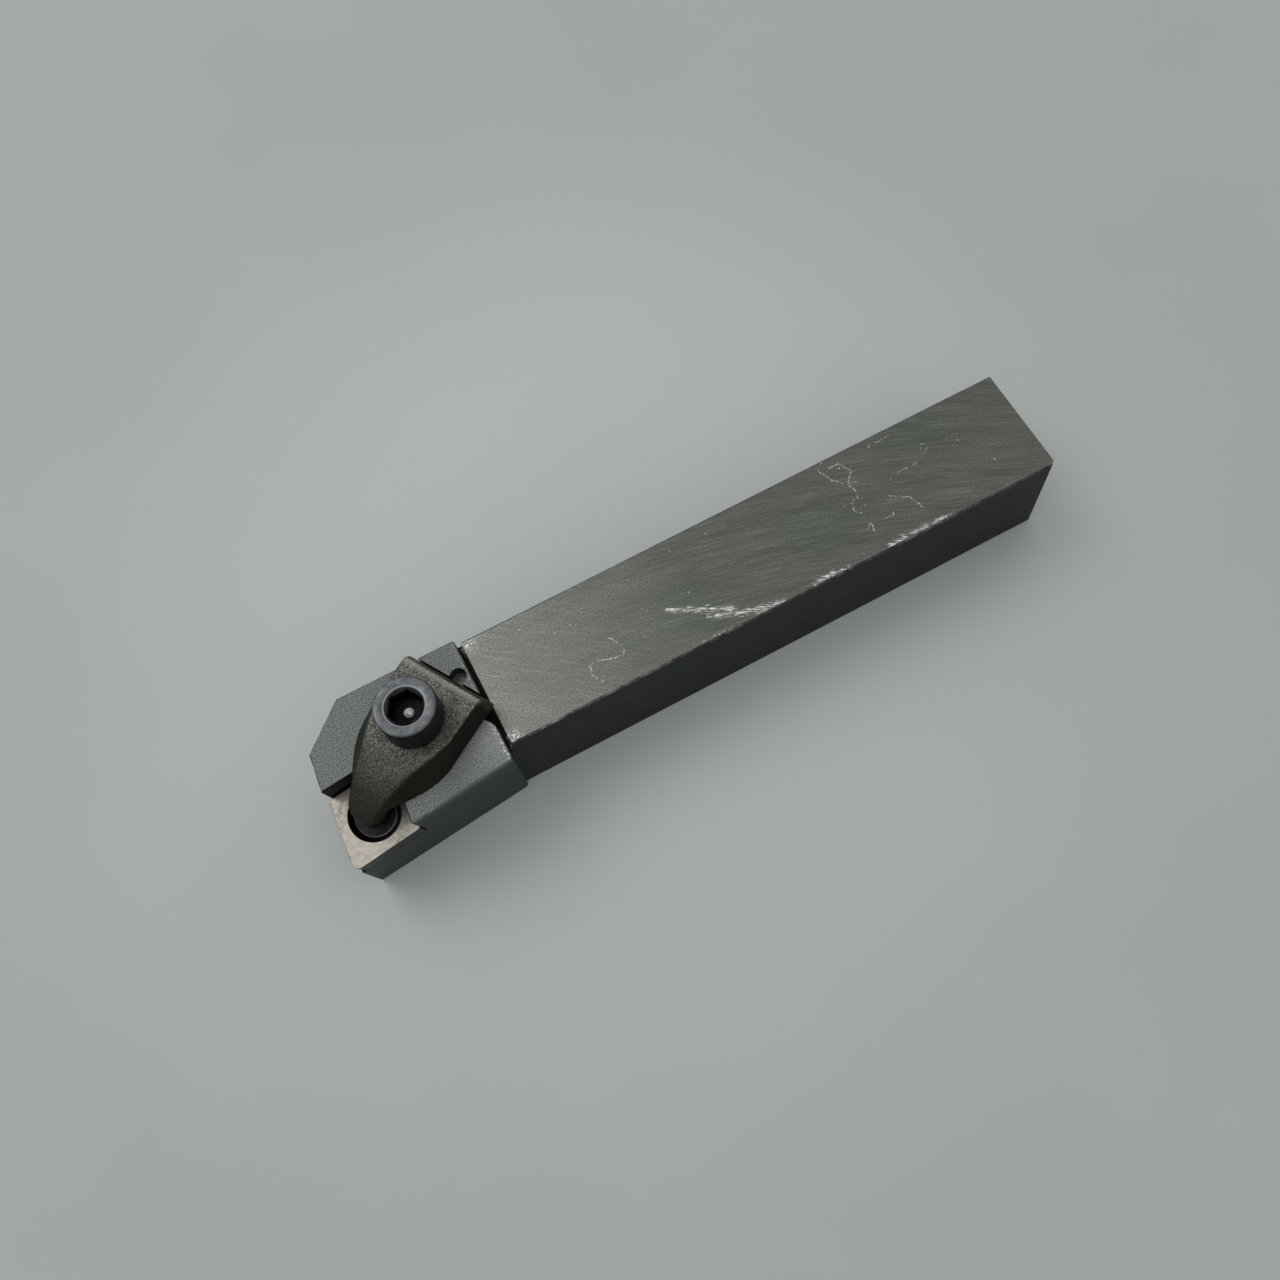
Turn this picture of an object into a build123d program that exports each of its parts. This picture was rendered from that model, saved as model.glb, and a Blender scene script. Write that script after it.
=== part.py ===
from build123d import *
import os
from math import cos, radians, sin, sqrt, tan

# Right-hand turning tool holder with a double-acting top clamp, without its insert.
# The bar runs along X with its rear end towards +X, the cutting side faces -Y and +Z is up.
# The origin lies on the underside, below the middle of the bar.

# Bar
shank_length = 102.0
shank_width = 20.0
shank_height = 20.0
shank_edge = 0.3
rear_bevel = 0.7
bar_overlap = 6.0

# Rhombic insert that the pocket is cut for
insert_width = 12.7
insert_thickness = 4.76
nose_angle = 80.0
lead_angle = 5.0
rake_angle = 6.0

# Shim under the insert, held by a countersunk screw; the reach and offset place its tip
shim_width = 12.2
shim_thickness = 3.18
shim_corner = 0.4
shim_nose_r = 1.2
shim_hole_mouth_r = 4.45
shim_hole_throat_r = 2.9
tip_reach = 30.75
tip_offset = 25.0

# Head in front of the bar
head_rise = 2.0
head_edge = 0.25
head_corner_r = 0.6
flank_setback = 0.05
front_setback = 0.25
front_relief = 2.0
corner_cut_x = 7.4
corner_cut_y = 6.6
pocket_relief_r = 0.8
groove_width = 0.8
groove_depth = 1.5
land_length = 4.8

# Top clamp: sizes from the screw's axis, the tail towards the bar and the nose over the insert.
# The screw stands behind the pocket's inner corner by the setback, along the clamp.
clamp_angle = 31.0
screw_setback = 5.43
clamp_thickness = 4.2
tail_length = 7.8
tail_half_width = 7.3
side_draft = 1.1
tail_draft = 1.4
slope_start = 5.0
slope_radius = 17.0
nose_r = 2.3
nose_drop = 3.0

# Tail slot with its ramp, and the small blind hole at its rear wall
ramp_start = 6.0
ramp_run = 2.0
slot_depth = 4.5
slot_clearance = 0.3
slot_runout = 0.78
heel_depth = 3.6
blind_hole_r = 1.45
blind_hole_depth = 2.3
blind_hole_setback = 0.7
blind_hole_offset = -0.5

# Clamp screw, its spring and its retaining ring
screw_r = 3.0
screw_length = 20.0
screw_head_r = 5.0
screw_head_height = 6.0
screw_head_bevel = 0.5
socket_width = 5.0
socket_depth = 3.2
socket_mouth_r = 3.3
drill_point_r = 0.85
screw_tip_bevel = 0.6
tapped_depth = 12.0
spring_wire = 0.7
spring_r = 3.6
spring_turns = 4.5
spring_space = 6.0
ring_r = 3.7
ring_thickness = 0.6
ring_groove_r = 2.6
ring_opening = 3.0

# Shim screw
shim_screw_r = 2.5
shim_screw_head_r = 3.55
shim_screw_bevel = 0.25
shim_screw_length = 8.0
shim_socket_width = 3.0
shim_socket_depth = 1.8

# Fits
running_clearance = 0.05
seat_clearance = 0.03
bore_clearance = 0.3

os.makedirs("parts", exist_ok=True)

# ---------------------------------------------------------------- common places
shank_front = -shank_length / 2
far_side = shank_width / 2
head_height = shank_height + head_rise
head_rear = shank_front - groove_width
beyond = shank_length

# The pocket floor leans down by the rake towards the tip, both along and across the bar
rake = tan(radians(rake_angle))
lead_x = cos(radians(lead_angle))
lead_y = sin(radians(lead_angle))
tip_x = shank_front - tip_reach
tip_y = far_side - tip_offset
floor_z = shank_height - insert_thickness - shim_thickness
seat = Plane(
    origin=(tip_x, tip_y, floor_z),
    x_dir=(lead_x, lead_y, rake * (lead_x + lead_y)),
    z_dir=(-rake, -rake, 1),
)

# The shim's rhombus on that floor, from the tip round to the front
nose = radians(nose_angle)
shim_side = shim_width / sin(nose)
shim_corners = [
    (0, 0),
    (shim_side, 0),
    (shim_side * (1 + cos(nose)), shim_width),
    (shim_side * cos(nose), shim_width),
]
shim_centre = (shim_side * (1 + cos(nose)) / 2, shim_width / 2)
shim_middle = seat.from_local_coords(shim_centre + (shim_thickness,))

# The insert is a little wider than the shim, so its inner corner lies past the shim's
wall_gap = (insert_width - shim_width) / 2
wall_y = shim_width + wall_gap
corner_u = shim_side * (1 + cos(nose)) + wall_gap * (1 + cos(nose)) / sin(nose)
inner_corner = seat.from_local_coords((corner_u, wall_y, shim_thickness))

# The clamp's own axes: u runs from the nose to the tail, v towards the far side
axis_u = Vector(cos(radians(clamp_angle)), sin(radians(clamp_angle)), 0)
axis_v = Vector(-axis_u.Y, axis_u.X, 0)
clamp_reach = (inner_corner - shim_middle).dot(axis_u) + screw_setback
screw_x = shim_middle.X + clamp_reach * axis_u.X
screw_y = shim_middle.Y + clamp_reach * axis_u.Y
clamp_seat = Plane(origin=(screw_x, screw_y, head_height), x_dir=axis_u, z_dir=(0, 0, 1))
clamp_side = Plane(origin=(screw_x, screw_y, head_height), x_dir=axis_u, z_dir=-axis_v)
base_half_width = tail_half_width + side_draft
heel_end = tail_length + tail_draft
slot_end = heel_end + slot_clearance

# ---------------------------------------------------------------- holder
# The near flank follows the insert's long side and leans in below it, as its front face does
flank_point = seat.from_local_coords((0, flank_setback, 0))
near_flank = Plane(origin=flank_point, x_dir=seat.x_dir, z_dir=-seat.y_dir)
relief = radians(front_relief)
front_face = Plane(
    origin=(tip_x + front_setback, tip_y, floor_z),
    x_dir=(lead_y, lead_x, 0),
    z_dir=(-lead_x * cos(relief), lead_y * cos(relief), -sin(relief)),
)

# Where the front face meets the cut corner at the top of the head
corner_y = far_side - corner_cut_y
front_top_x = front_face.origin.X - (head_height - floor_z) * tan(relief)
corner_x = front_top_x + (corner_y - tip_y) * tan(radians(lead_angle))
outer_y = tip_y - head_height

with BuildPart() as head:
    with BuildSketch():
        Polygon(
            (head_rear, outer_y),
            (head_rear, far_side),
            (corner_x + corner_cut_x, far_side),
            (corner_x - corner_cut_x, corner_y - corner_cut_y),
            (corner_x - corner_cut_x, outer_y),
            align=None,
        )
    extrude(amount=head_height)
    split(bisect_by=near_flank, keep=Keep.BOTTOM)
    split(bisect_by=front_face, keep=Keep.BOTTOM)
    rear_face = head.faces().sort_by(Axis.X)[-1]
    fillet(rear_face.edges().group_by(Axis.Y)[-1], head_corner_r)
    rear_face = head.faces().filter_by(Plane.YZ).sort_by(Axis.X)[-1]
    fillet(rear_face.edges().sort_by(Axis.Y)[0], head_corner_r)
    chamfer(head.faces().sort_by(Axis.Z)[-1].edges(), head_edge)

# The near land behind the clamp ends in an arc that meets the groove square on
flank_drop = (head_rear - flank_point.X) * seat.y_dir.X + (head_height - flank_point.Z) * seat.y_dir.Z
flank_top_y = flank_point.Y - flank_drop / seat.y_dir.Y
land_end = (head_rear, flank_top_y + land_length)

# The slot's near end stops where its rear wall reaches the bar, and the heel fits inside it
slot_near = (screw_x + slot_end * axis_u.X - shank_front) / axis_u.Y
heel_half_width = -slot_near - slot_clearance
slot_rear = clamp_seat.from_local_coords((slot_end, slot_near, 0))
slot_middle = clamp_seat.from_local_coords((ramp_start, slot_near, 0))
land_front = clamp_seat.from_local_coords((ramp_start, slot_near - slot_runout, 0))

with BuildPart() as holder:
    with BuildSketch(Plane.YZ.offset(shank_front - bar_overlap)):
        Rectangle(shank_width, shank_height, align=(Align.CENTER, Align.MIN))
    extrude(amount=bar_overlap + shank_length)
    rear_face = holder.faces().sort_by(Axis.X)[-1]
    chamfer(rear_face.edges().filter_by(Axis.Z).sort_by(Axis.Y)[0], rear_bevel)
    chamfer(holder.edges().filter_by(Axis.X), shank_edge)
    add(head.part)

    # Groove between the bar and the head
    with BuildSketch(Plane.XY.offset(shank_height - groove_depth)):
        with Locations((shank_front - groove_width / 2, 0)):
            Rectangle(groove_width, beyond)
    extrude(amount=head_height, mode=Mode.SUBTRACT)

    # Run-out of the tail slot into the groove
    with BuildSketch(Plane.XY.offset(shank_height - groove_depth)):
        with BuildLine():
            TangentArc(land_end, (land_front.X, land_front.Y), tangent=(0, 1))
            Line((land_front.X, land_front.Y), (slot_middle.X, slot_middle.Y))
            Line((slot_middle.X, slot_middle.Y), (slot_rear.X, slot_rear.Y))
            Line((slot_rear.X, slot_rear.Y), (shank_front, land_end[1]))
            Line((shank_front, land_end[1]), land_end)
        make_face()
    extrude(amount=head_height, mode=Mode.SUBTRACT)

    # Tail slot across the head, open at the far side
    with BuildSketch(clamp_side.offset(-slot_near)):
        Polygon(
            (ramp_start, 0),
            (ramp_start + ramp_run, -slot_depth),
            (slot_end, -slot_depth),
            (slot_end, head_height),
            (ramp_start, head_height),
            align=None,
        )
    extrude(amount=-beyond, mode=Mode.SUBTRACT)

    # Insert pocket: two walls square to the leaning floor, relieved where they meet
    with BuildSketch(seat):
        Polygon(
            (corner_u, wall_y),
            (-beyond, wall_y),
            (-beyond, -beyond),
            (corner_u - (wall_y + beyond) / tan(nose), -beyond),
            align=None,
        )
        with Locations((corner_u, wall_y)):
            Circle(pocket_relief_r)
    extrude(amount=head_height, mode=Mode.SUBTRACT)

    # Tapped hole for the shim screw
    with BuildSketch(seat):
        with Locations(shim_centre):
            Circle(shim_screw_r + running_clearance)
    extrude(amount=-shim_screw_length - bore_clearance, mode=Mode.SUBTRACT)

    # Spring pocket, and the tapped hole for the clamp screw under it
    with BuildSketch(clamp_seat):
        Circle(spring_r + spring_wire / 2 + bore_clearance)
    extrude(amount=-spring_space, mode=Mode.SUBTRACT)
    with BuildSketch(clamp_seat.offset(-spring_space)):
        Circle(screw_r + running_clearance)
    extrude(amount=-tapped_depth, mode=Mode.SUBTRACT)

    # Small blind hole that breaks into the slot's rear wall
    with BuildSketch(clamp_seat):
        with Locations((slot_end + blind_hole_setback, blind_hole_offset)):
            Circle(blind_hole_r)
    extrude(amount=-blind_hole_depth, mode=Mode.SUBTRACT)

# ---------------------------------------------------------------- shim
with BuildPart() as shim:
    with BuildSketch(seat):
        Polygon(*shim_corners, align=None)
    extrude(amount=shim_thickness)
    uprights = shim.edges().filter_by(Axis(seat.origin, seat.z_dir)).sort_by_distance(seat.origin)
    fillet(uprights[1:], shim_corner)
    uprights = shim.edges().filter_by(Axis(seat.origin, seat.z_dir)).sort_by_distance(seat.origin)
    fillet(uprights[0], shim_nose_r)
    with BuildSketch(seat):
        with Locations(shim_centre):
            Circle(shim_hole_throat_r)
    extrude(amount=shim_thickness, mode=Mode.SUBTRACT)
    with BuildSketch(seat.offset(shim_thickness)):
        with Locations(shim_centre):
            Circle(shim_hole_mouth_r)
    extrude(amount=shim_hole_throat_r - shim_hole_mouth_r, taper=45, mode=Mode.SUBTRACT)

# ---------------------------------------------------------------- shim screw
# Depths below the shim's top at which the countersink leaves room for the head and the shank
head_sink = shim_hole_mouth_r - shim_screw_head_r - seat_clearance
neck_sink = shim_hole_mouth_r - shim_screw_r - seat_clearance
shim_screw_top = shim_screw_bevel - head_sink
shim_screw_end = -shim_thickness - shim_screw_length
with BuildPart() as shim_screw:
    with BuildSketch(Plane(origin=shim_middle, x_dir=seat.x_dir, z_dir=-seat.y_dir)):
        Polygon(
            (0, shim_screw_top),
            (shim_screw_head_r - shim_screw_bevel, shim_screw_top),
            (shim_screw_head_r, -head_sink),
            (shim_screw_r, -neck_sink),
            (shim_screw_r, shim_screw_end),
            (0, shim_screw_end),
            align=None,
        )
    revolve(axis=Axis(shim_middle, seat.z_dir))
    with BuildSketch(seat.offset(shim_thickness + shim_screw_top)):
        with Locations(shim_centre):
            RegularPolygon(shim_socket_width / 2, 6, major_radius=False)
    extrude(amount=-shim_socket_depth, mode=Mode.SUBTRACT)

# ---------------------------------------------------------------- clamp
# Half outlines from tail to nose. The sides lean in from the underside to the top, and the
# clamp narrows from a square tail to a slim nose.
nose_end = -clamp_reach - nose_r
underside = [
    (heel_end, base_half_width),
    (-0.25 * clamp_reach, base_half_width),
    (-0.40 * clamp_reach, 0.95 * base_half_width),
    (-0.53 * clamp_reach, 0.86 * base_half_width),
    (-0.67 * clamp_reach, 0.72 * base_half_width),
    (-0.88 * clamp_reach, 0.48 * base_half_width),
    (nose_end, 0.20 * base_half_width),
]
topside = [
    (tail_length, tail_half_width),
    (0.0, 0.98 * tail_half_width),
    (-0.27 * clamp_reach, 0.81 * tail_half_width),
    (-0.42 * clamp_reach, 0.69 * tail_half_width),
    (-0.56 * clamp_reach, 0.57 * tail_half_width),
    (-0.80 * clamp_reach, 0.40 * tail_half_width),
    (nose_end, 0.20 * tail_half_width),
]
nose_block = [
    (nose_r - clamp_reach, 1.05 * nose_r),
    (0.3 * nose_r - clamp_reach, 1.25 * nose_r),
    (-0.5 * nose_r - clamp_reach, 1.10 * nose_r),
    (nose_end, 0.60 * nose_r),
]


def both_sides(half):
    """Closed outline from a half outline and its mirror image across the clamp's axis."""
    return half + [(u, -v) for u, v in reversed(half)]


slope_fall = slope_radius - sqrt(slope_radius**2 - (nose_end + slope_start) ** 2)
slope_low = (nose_end, clamp_thickness - slope_fall)
slope_high = (-slope_start, clamp_thickness)
with BuildPart() as clamp:
    with BuildSketch(clamp_seat.offset(seat_clearance)):
        Polygon(*both_sides(underside), align=None)
    with BuildSketch(clamp_seat.offset(clamp_thickness)):
        Polygon(*both_sides(topside), align=None)
    loft(ruled=True)
    with BuildSketch(clamp_seat.offset(-nose_drop)):
        Polygon(*both_sides(nose_block), align=None)
    extrude(amount=nose_drop + clamp_thickness)

    # The top falls away to the nose in one arc
    with BuildSketch(clamp_side):
        with BuildLine():
            Line(slope_high, (heel_end, clamp_thickness))
            Line((heel_end, clamp_thickness), (heel_end, -head_height))
            Line((heel_end, -head_height), (nose_end, -head_height))
            Line((nose_end, -head_height), slope_low)
            RadiusArc(slope_low, slope_high, slope_radius)
        make_face()
    extrude(amount=beyond, both=True, mode=Mode.INTERSECT)

    # Round nose that drops into the insert's hole
    with BuildSketch(clamp_seat.offset(-nose_drop)):
        with Locations((-clamp_reach, 0)):
            Circle(nose_r)
    extrude(amount=nose_drop + shim_middle.Z + bore_clearance - head_height)

    # Heel that rides down the ramp of the tail slot
    ramp_slope = ramp_run / slot_depth
    heel_front = ramp_start + slot_clearance
    with BuildSketch(clamp_side.offset(heel_half_width)):
        Polygon(
            (heel_front, seat_clearance),
            (heel_front + ramp_slope * heel_depth, -heel_depth),
            (heel_end, -heel_depth),
            (heel_end, seat_clearance),
            align=None,
        )
    extrude(amount=-2 * heel_half_width)

    # Screw hole, opened at the underside for the retaining ring
    with BuildSketch(clamp_seat.offset(clamp_thickness)):
        Circle(screw_r + bore_clearance)
    extrude(amount=-clamp_thickness, mode=Mode.SUBTRACT)
    with BuildSketch(clamp_seat):
        Circle(ring_r + bore_clearance)
    extrude(amount=ring_thickness + bore_clearance, mode=Mode.SUBTRACT)

# ---------------------------------------------------------------- clamp screw
screw_seat = clamp_seat.offset(clamp_thickness + seat_clearance)
head_top = clamp_seat.offset(clamp_thickness + seat_clearance + screw_head_height)
ring_seat = clamp_seat.offset(seat_clearance)
with BuildPart() as clamp_screw:
    with BuildSketch(screw_seat):
        Circle(screw_head_r)
    extrude(amount=screw_head_height)
    chamfer(clamp_screw.faces().sort_by(Axis.Z)[-1].edges(), screw_head_bevel)
    with BuildSketch(screw_seat):
        Circle(screw_r)
    extrude(amount=-screw_length)
    chamfer(clamp_screw.faces().sort_by(Axis.Z)[0].edges(), screw_tip_bevel)

    # Hexagon socket with a bevelled mouth and the drill's point left in its floor
    with BuildSketch(head_top):
        RegularPolygon(socket_width / 2, 6, major_radius=False, rotation=30)
    extrude(amount=-socket_depth, mode=Mode.SUBTRACT)
    with BuildSketch(head_top):
        Circle(socket_mouth_r)
    extrude(amount=socket_width / 2 - socket_mouth_r, taper=45, mode=Mode.SUBTRACT)
    with BuildSketch(head_top.offset(-socket_depth)):
        Circle(drill_point_r)
    extrude(amount=-drill_point_r / 2, taper=60, mode=Mode.SUBTRACT)

    # Groove for the retaining ring
    with BuildSketch(ring_seat):
        Circle(screw_r)
        Circle(ring_groove_r, mode=Mode.SUBTRACT)
    extrude(amount=ring_thickness, mode=Mode.SUBTRACT)

# ---------------------------------------------------------------- retaining ring
with BuildPart() as retaining_ring:
    with BuildSketch(ring_seat.offset(running_clearance)):
        Circle(ring_r)
        Circle(ring_groove_r + running_clearance, mode=Mode.SUBTRACT)
        with Locations((ring_r, 0)):
            Rectangle(2 * ring_r, ring_opening, mode=Mode.SUBTRACT)
    extrude(amount=ring_thickness - 2 * running_clearance)

# ---------------------------------------------------------------- clamp spring
coil_height = spring_space - spring_wire
with BuildPart() as clamp_spring:
    with BuildLine() as coil:
        Helix(
            pitch=coil_height / spring_turns,
            height=coil_height,
            radius=spring_r,
            center=(screw_x, screw_y, head_height - spring_space + spring_wire / 2),
        )
    with BuildSketch(Plane(origin=coil.line @ 0, z_dir=coil.line % 0)):
        Circle(spring_wire / 2)
    sweep()

pieces = {
    "holder": holder,
    "shim": shim,
    "shim_screw": shim_screw,
    "clamp": clamp,
    "clamp_screw": clamp_screw,
    "retaining_ring": retaining_ring,
    "clamp_spring": clamp_spring,
}
for name, piece in pieces.items():
    piece.part.label = name
    export_step(piece.part, f"parts/{name}.step")
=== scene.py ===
import math

import bmesh
import bpy
import numpy as np
from mathutils import Matrix, Vector


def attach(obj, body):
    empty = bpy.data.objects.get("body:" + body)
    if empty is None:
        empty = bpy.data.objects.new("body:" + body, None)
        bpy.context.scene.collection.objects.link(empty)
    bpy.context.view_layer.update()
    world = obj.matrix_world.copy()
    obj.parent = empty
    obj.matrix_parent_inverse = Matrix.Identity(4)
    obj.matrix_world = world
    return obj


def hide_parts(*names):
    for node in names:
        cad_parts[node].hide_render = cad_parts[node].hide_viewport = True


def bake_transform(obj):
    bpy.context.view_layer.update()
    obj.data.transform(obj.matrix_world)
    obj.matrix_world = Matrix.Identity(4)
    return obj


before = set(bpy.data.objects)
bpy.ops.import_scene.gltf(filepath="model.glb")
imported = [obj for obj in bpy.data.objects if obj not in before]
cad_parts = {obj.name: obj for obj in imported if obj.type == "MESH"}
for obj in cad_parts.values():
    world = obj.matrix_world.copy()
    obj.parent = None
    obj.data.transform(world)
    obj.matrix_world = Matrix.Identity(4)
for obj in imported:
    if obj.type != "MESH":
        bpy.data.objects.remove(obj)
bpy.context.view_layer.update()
mm = 0.001
print("frame loaded:", len(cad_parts), "solids")

# ---- places shared by the pieces, in millimetres
clampTurn = math.radians(31.0)  # the clamp's long axis, seen from above
clampU = np.array([math.cos(clampTurn), math.sin(clampTurn), 0.0])
screwAxis = np.array([-62.709, -0.984, 0.0])
seatNormal = np.array([-0.103962, -0.103962, 0.989133])
seatAlong = np.array([0.990665, 0.086672, 0.113233])
shimHole = np.array([-75.479, -8.657, 16.601])  # middle of the shim's hole on its top face
seatTip = (-81.75, -15.0, 12.06)  # sharp tip of the leaning floor under the shim


def linear(hexColour):
    # sRGB to linear: below 0.04045 a plain share, above it a 2.4 power
    parts = [int(hexColour[i:i + 2], 16) / 255 for i in (0, 2, 4)]
    return tuple(c / 12.92 if c <= 0.04045 else ((c + 0.055) / 1.055) ** 2.4 for c in parts) + (1.0,)


def addNode(tree, kind, inputs, out=0, **settings):
    # adds one node, sets it, fills or links its inputs and hands back one output
    node = tree.nodes.new("ShaderNode" + kind)
    for name, value in settings.items():
        setattr(node, name, value)
    for key, value in inputs.items():
        if isinstance(value, bpy.types.NodeSocket):
            tree.links.new(value, node.inputs[key])
        else:
            node.inputs[key].default_value = value
    return node.outputs[out]


def newMaterial(name):
    # a material with its shader, and the place and facing of each point in millimetres
    material = bpy.data.materials.new(name)
    material.use_nodes = True
    tree = material.node_tree
    shader = tree.nodes["Principled BSDF"]
    facing = addNode(tree, "TexCoord", {}, out=1)
    place = addNode(tree, "Mapping", {"Vector": facing.node.outputs["Object"], "Scale": (1000, 1000, 1000)})
    return material, tree, shader, place, facing


def strokes(tree, place, lines, width, soft):
    # one where a point lies within width of any segment of the lines, fading over soft
    nearest = None
    for line in lines:
        for a, b in zip(line[:-1], line[1:]):
            a, b = np.array(a + (20.0,)), np.array(b + (20.0,))
            fromA = addNode(tree, "VectorMath", {0: place, 1: tuple(a)}, operation="SUBTRACT")
            along = addNode(tree, "VectorMath", {0: fromA, 1: tuple((b - a) / (b - a).dot(b - a))},
                            out=1, operation="DOT_PRODUCT")
            share = addNode(tree, "Clamp", {0: along})
            foot = addNode(tree, "VectorMath", {0: tuple(b - a), 3: share}, operation="SCALE")
            gap = addNode(tree, "VectorMath", {0: fromA, 1: foot}, out=1, operation="DISTANCE")
            if nearest is not None:
                gap = addNode(tree, "Math", {0: nearest, 1: gap}, operation="MINIMUM")
            nearest = gap
    return addNode(tree, "MapRange", {0: nearest, 1: width, 2: width + soft, 3: 1.0, 4: 0.0})


def weld(node):
    # the vertices and faces of a CAD solid, with its loose triangles joined and flat faces made whole
    joined = bmesh.new()
    joined.from_mesh(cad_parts[node].data)
    bmesh.ops.remove_doubles(joined, verts=joined.verts, dist=0.002 * mm)
    bmesh.ops.dissolve_limit(joined, angle_limit=math.radians(0.5), verts=joined.verts, edges=joined.edges)
    joined.verts.ensure_lookup_table()
    vertices = np.array([v.co for v in joined.verts])
    faces = [[v.index for v in f.verts] for f in joined.faces]
    joined.free()
    return vertices, faces


def newPiece(name, vertices, faces, material, body, node, smoothAngle=35):
    # a finished mesh object that stands for a CAD node and, where a body is named, rides on it
    mesh = bpy.data.meshes.new(name)
    mesh.from_pydata(np.asarray(vertices).tolist(), [], faces if isinstance(faces, list) else faces.tolist())
    mesh.validate()
    mesh.materials.append(material)
    mesh.polygons.foreach_set("use_smooth", np.ones(len(mesh.polygons), bool))
    mesh.set_sharp_from_angle(angle=math.radians(smoothAngle))
    piece = bpy.data.objects.new(name, mesh)
    bpy.context.scene.collection.objects.link(piece)
    if body:
        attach(piece, body)
    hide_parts(node)
    return piece


def roundEdges(piece, width, segments=2, angle=25):
    # a small bevel along every edge sharper than the angle
    bevel = piece.modifiers.new("edges", "BEVEL")
    bevel.width = width * mm
    bevel.segments = segments
    bevel.limit_method = "ANGLE"
    bevel.angle_limit = math.radians(angle)
    bevel.use_clamp_overlap = True
    bevel.harden_normals = False


def ringFaces(rings, columns):
    # quads between neighbouring rings, and fans from the pole points placed after the rings
    i, j = np.meshgrid(np.arange(rings - 1), np.arange(columns), indexing="ij")
    k = (j + 1) % columns
    quads = np.stack([i * columns + j, i * columns + k, (i + 1) * columns + k, (i + 1) * columns + j], -1)
    j = np.arange(columns)
    k = (j + 1) % columns
    first = np.stack([np.full(columns, rings * columns), k, j], -1)
    last = np.stack([np.full(columns, rings * columns + 1), (rings - 1) * columns + j,
                     (rings - 1) * columns + k], -1)
    return quads.reshape(-1, 4).tolist() + first.tolist() + last.tolist()


# ---- holder
holderLook = {
    "edge": 0.09,
    "shankTop": "5A5B56", "shankPatch": "4F5650", "streak": "878882", "shankFront": "8A8B86",
    "dust": "45483F",
    # the light worn tone serves both for real wear and for the painted highlight on the chamfers
    "headTop": "4B504F", "headGrainAndHighlight": "7A7F7C", "wearAndHighlight": "A9ACA8",
    "side": "272B2B", "sideCloud": "363D3D", "headSide": "384040", "headSideCloud": "4B5454",
    # the next two tones are painted shade in the pocket and in the groove and tail slot
    "pocketShade": "0B0C0D", "recessShade": "1C1815", "bright": "D8DAD6",
    "streakSpacing": 0.22,  # finest grinding marks in mm, drawn coarser than the real ones so that they show
    "blastGrain": 0.22,  # grit marks on the head, in mm
    "wheelCentre": (-61.0, -207.0, 20.0),  # the grinding arcs turn about this point
    "streaksPerRadian": 26.0,
    "barStart": -50.98, "groove": (-51.4, 0.46),  # middle and half width along the bar
    "slot": (7.75, 1.82),  # middle and half width along the clamp
    "landWear": (-53.2, -8.2, 22.0),  # where the land is rubbed most
    "pocketSpan": (5.8, 6.8),  # middle and half width across the seat
    "pocketBack": 12.78, "backLean": -0.17633,  # back wall, ten degrees off square in the seat's plane
    "rubbedCorners": ((-50.4, -9.4, 20.0), (-50.2, 9.4, 20.0)),
}
scratchLines = [
    [(-34.0, -7.0), (-34.5, -5.6), (-34.1, -4.2), (-32.6, -4.0), (-30.6, -4.7), (-28.6, -5.0), (-27.9, -4.4),
     (-28.2, -3.0), (-29.4, -1.0)],
    [(16.0, 8.6), (17.0, 5.8), (18.4, 4.2), (19.6, 2.6), (19.0, 0.6)],
    [(17.6, 8.2), (19.6, 8.0), (20.8, 5.8), (19.0, 4.0), (20.6, 3.2)],
    [(18.2, 1.0), (17.2, -0.6), (18.0, -2.0)],
    [(33.0, 3.4), (33.6, 4.2), (34.4, 4.0), (34.0, 3.0), (33.2, 2.6)],
    [(25.5, 8.4), (30.0, 8.6)],
    [(27.0, 1.6), (31.2, 1.8)],
    [(20.6, -4.6), (22.6, -5.0), (23.0, -3.6)],
    [(17.0, -5.2), (18.6, -4.0), (18.2, -6.2)],
    [(23.6, -1.4), (26.8, -3.6), (27.6, -6.4)],
]
scuffLines = [
    [(-18.6, -1.6), (-16.2, -2.9), (-13.4, -4.4), (-9.0, -6.6)],
    [(-13.2, -5.8), (-9.4, -7.6), (-5.2, -8.8), (-1.0, -9.6)],
    [(5.0, -9.3), (8.0, -9.1), (11.0, -9.6)],
    [(19.0, -9.5), (24.0, -9.2), (30.0, -9.6)],
]


def grindingArcs(tree, place, look):
    # noise laid out in the wheel's own polar grid: distance from its centre against the way round it
    fromCentre = addNode(tree, "VectorMath", {0: place, 1: look["wheelCentre"]}, operation="SUBTRACT")
    flat = addNode(tree, "VectorMath", {0: fromCentre, 1: (1, 1, 0)}, operation="MULTIPLY")
    reach = addNode(tree, "VectorMath", {0: flat}, out=1, operation="LENGTH")
    parts = addNode(tree, "SeparateXYZ", {0: flat})
    turn = addNode(tree, "Math", {0: parts, 1: parts.node.outputs[1]}, operation="ARCTAN2")
    across = addNode(tree, "Math", {0: reach, 1: 1 / look["streakSpacing"]}, operation="MULTIPLY")
    along = addNode(tree, "Math", {0: turn, 1: look["streaksPerRadian"]}, operation="MULTIPLY")
    polar = addNode(tree, "CombineXYZ", {0: across, 1: along, 2: 0.0})
    fine = addNode(tree, "TexNoise", {"Vector": polar, "Scale": 1.0, "Detail": 3.0, "Roughness": 0.6})
    broadPolar = addNode(tree, "VectorMath", {0: polar, 1: (0.10, 0.3, 0.0)}, operation="MULTIPLY")
    broad = addNode(tree, "TexNoise", {"Vector": broadPolar, "Scale": 1.0, "Detail": 2.0})
    return fine, broad


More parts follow.
